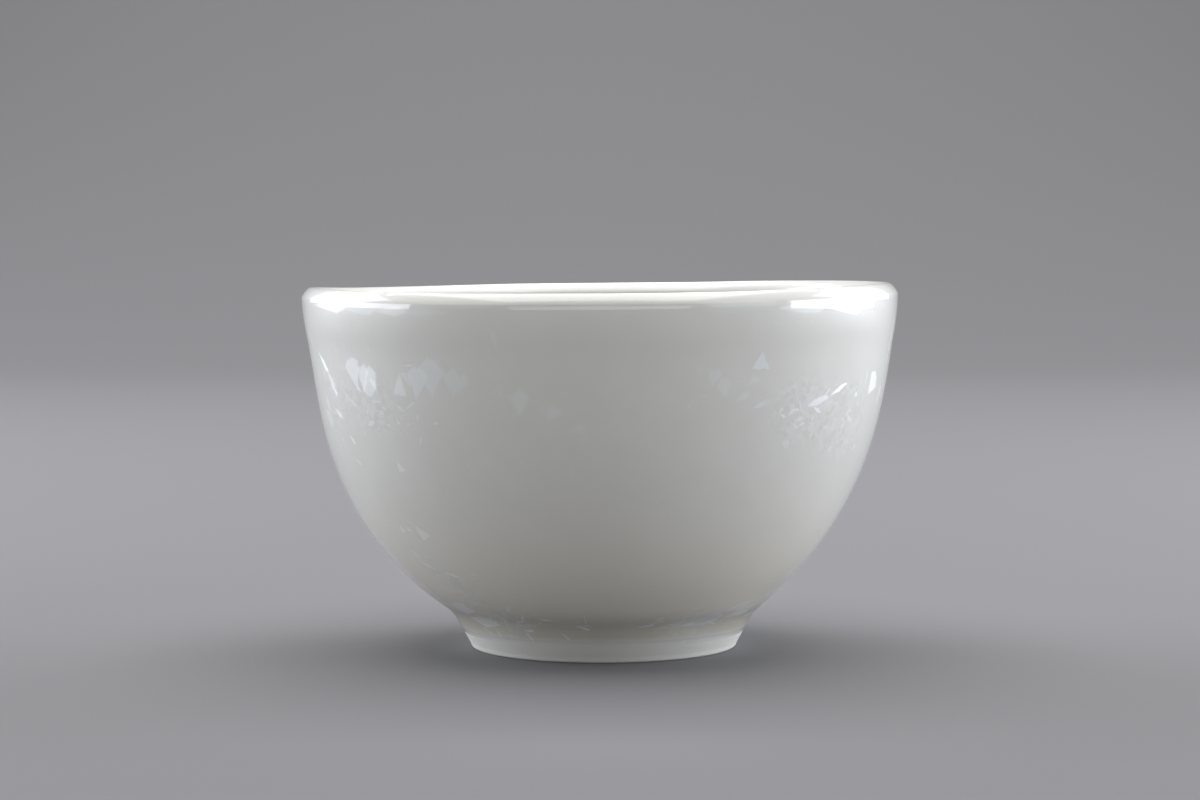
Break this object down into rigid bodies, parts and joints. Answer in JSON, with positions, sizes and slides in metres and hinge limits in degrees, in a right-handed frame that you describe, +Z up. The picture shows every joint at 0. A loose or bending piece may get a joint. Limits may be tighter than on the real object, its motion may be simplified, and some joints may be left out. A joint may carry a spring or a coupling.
{
  "type": "porcelain teacup",
  "caption": "Handleless bowl-shaped porcelain teacup with a thick rounded lip, a crystalline glaze and a low bare foot ring.",
  "frame": {"origin": "on the table, below the middle of the lip", "axes": "+Z up through the cup's mouth; -Y is the side that the picture shows; the lip stands a little higher towards +X"},
  "size_m": [0.098, 0.098, 0.06],
  "materials": {
    "glazed_porcelain": "glossy"
  },
  "bodies": {
    "root": {"teacup": "glazed_porcelain"}
  },
  "joints": []
}
